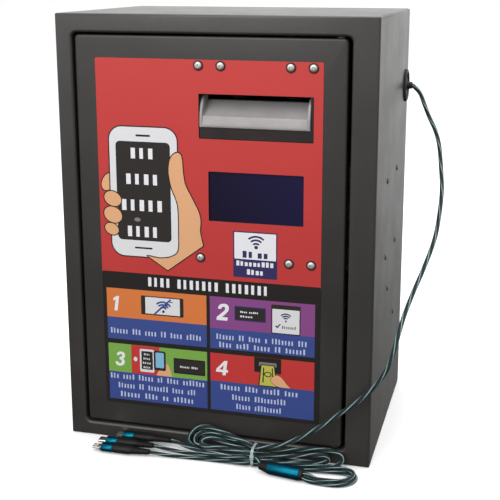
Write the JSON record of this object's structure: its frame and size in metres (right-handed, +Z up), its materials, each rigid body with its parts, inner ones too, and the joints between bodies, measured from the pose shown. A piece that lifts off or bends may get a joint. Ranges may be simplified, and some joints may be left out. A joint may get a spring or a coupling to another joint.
{
  "type": "bill validator kiosk",
  "caption": "Sheet-steel counter kiosk holding a banknote validator behind a hinged front panel, with a display, a note cash box and a captive three-headed lead.",
  "frame": {"origin": "middle of the cabinet's base, on the surface it stands on", "axes": "+Z up, front of the kiosk faces -Y, the lead leaves on the +X side"},
  "size_m": [0.3405, 0.2523, 0.4],
  "materials": {
    "cabinet_paint": "fine satin powder coat",
    "panel_paint": "fine satin powder coat",
    "zinc_steel": "zinc plated",
    "black_screw": "black oxide",
    "grommet_rubber": "matt",
    "lock_chrome": "polished",
    "psu_steel": "galvanised sheet",
    "router_plastic": "fine grain",
    "black_plastic": "fine grain",
    "switch_red": "gloss",
    "overlay_print": "printed satin film, red field with black band and coloured tiles",
    "screw_head": "nickel plated",
    "nylon_white": "natural nylon",
    "display_window": "dark tinted",
    "lcd_black": "satin",
    "pcb_green": "solder mask",
    "brass": "plain",
    "scoop_grey": "light grey moulded, semi-gloss",
    "housing_black": "moulded, fine grain",
    "belt_rubber": "matt",
    "motor_steel": "drawn can",
    "pulley_plastic": "acetal",
    "roller_rubber": "ground rubber on a steel shaft",
    "cash_box_black": "moulded, fine grain",
    "spring_steel": "wire",
    "braid_teal": "dark teal braid with a light spiral tracer",
    "tie_clear": "white wire tie",
    "anodised_blue": "satin blue anodised",
    "boot_black": "matt moulded",
    "tip_steel": "nickel plated"
  },
  "bodies": {
    "cabinet": {"cabinet_shell": "cabinet_paint", "rear_panel": "cabinet_paint", "rear_screws": "zinc_steel", "side_screws": "black_screw", "lead_grommet": "grommet_rubber", "hinge_pins": "zinc_steel", "lock_body": "lock_chrome", "lock_nut": "zinc_steel", "psu_case": "psu_steel", "router_case": "router_plastic", "mains_inlet": "black_plastic", "switch_body": "black_plastic", "lead_cord": "braid_teal"},
    "lock_barrel": {"lock_plug": "lock_chrome", "lock_cam": "zinc_steel"},
    "rocker": {"switch_rocker": "switch_red"},
    "front_door": {"door_panel": "panel_paint", "graphic_overlay": "overlay_print", "door_screws": "screw_head", "hinge_bushes": "nylon_white", "door_keeper": "zinc_steel", "mount_bracket": "zinc_steel", "display_lens": "display_window", "lcd_module": "lcd_black", "lcd_board": "pcb_green", "controller_board": "pcb_green", "board_standoffs": "brass", "bill_scoop": "scoop_grey", "mouth_housing": "housing_black", "transport_frame": "housing_black", "turn_guide": "housing_black", "drive_belt": "belt_rubber", "transport_motor": "motor_steel", "sensor_board": "pcb_green", "stacker_frame": "housing_black", "lead_hank": "braid_teal", "lead_tie": "tie_clear", "splitter_sleeve": "anodised_blue", "splitter_collars": "boot_black", "branch_loop": "braid_teal", "plug_lead_a": "braid_teal", "plug_lead_b": "braid_teal", "plug_lead_c": "braid_teal", "plug_boots": "boot_black", "plug_sleeves": "anodised_blue", "plug_tip_a": "tip_steel", "plug_tip_b": "tip_steel", "plug_tip_c": "tip_steel"},
    "upper_guide": {"upper_guide": "housing_black"},
    "front_rollers": {"front_rollers": "roller_rubber"},
    "rear_rollers": {"rear_rollers": "roller_rubber"},
    "motor_pulley": {"motor_pulley": "pulley_plastic"},
    "pinch_rollers": {"pinch_rollers": "pulley_plastic"},
    "pusher": {"pusher_plate": "zinc_steel"},
    "cash_box": {"cash_box": "cash_box_black", "cash_box_handle": "black_plastic", "plate_spring": "spring_steel"},
    "cash_box_door": {"cash_box_door": "cash_box_black"},
    "pressure_plate": {"pressure_plate": "zinc_steel"}
  },
  "joints": [
    {"name": "door_swing", "type": "hinge", "parent": "cabinet", "child": "front_door", "pos_m": [0.1119, -0.0965, 0.2], "axis": [0, 0, 1], "range_deg": [0, 95], "deforming": ["lead_cord", "lead_hank", "branch_loop"]},
    {"name": "lock_turn", "type": "hinge", "parent": "cabinet", "child": "lock_barrel", "pos_m": [-0.145, -0.078, 0.225], "axis": [1, 0, 0], "range_deg": [0, 90]},
    {"name": "switch_rock", "type": "hinge", "parent": "cabinet", "child": "rocker", "pos_m": [0.031, 0.1015, 0.044], "axis": [1, 0, 0], "range_deg": [0, 16]},
    {"name": "upper_guide_lift", "type": "hinge", "parent": "front_door", "child": "upper_guide", "pos_m": [0.0358, -0.024, 0.343], "axis": [-1, 0, 0], "range_deg": [0, 50]},
    {"name": "front_roller_spin", "type": "hinge", "parent": "front_door", "child": "front_rollers", "pos_m": [0.0386, -0.068, 0.3193], "axis": [1, 0, 0], "continuous": true},
    {"name": "rear_roller_spin", "type": "hinge", "parent": "front_door", "child": "rear_rollers", "pos_m": [0.0386, -0.036, 0.3193], "axis": [1, 0, 0], "continuous": true},
    {"name": "motor_spin", "type": "hinge", "parent": "front_door", "child": "motor_pulley", "pos_m": [0.0386, -0.052, 0.3], "axis": [1, 0, 0], "continuous": true},
    {"name": "pinch_spin", "type": "hinge", "parent": "upper_guide", "child": "pinch_rollers", "pos_m": [0.0386, -0.068, 0.3377], "axis": [1, 0, 0], "continuous": true},
    {"name": "pusher_slide", "type": "slide", "parent": "front_door", "child": "pusher", "axis": [0, 1, 0], "range_m": [0, 0.015]},
    {"name": "cash_box_lift", "type": "slide", "parent": "front_door", "child": "cash_box", "axis": [0, 0, 1], "range_m": [0, 0.05]},
    {"name": "cash_box_door_swing", "type": "hinge", "parent": "cash_box", "child": "cash_box_door", "pos_m": [-0.0165, 0.0615, 0.258], "axis": [0, 0, -1], "range_deg": [0, 100]},
    {"name": "pressure_plate_slide", "type": "slide", "parent": "cash_box", "child": "pressure_plate", "axis": [0, 1, 0], "range_m": [0, 0.04], "stiffness_N_per_m": 80, "springref_m": -0.02, "deforming": ["plate_spring"]}
  ],
  "couplings": [
    {"joint": "rear_roller_spin", "follows": "front_roller_spin", "ratio": 1},
    {"joint": "motor_spin", "follows": "front_roller_spin", "ratio": 2}
  ]
}
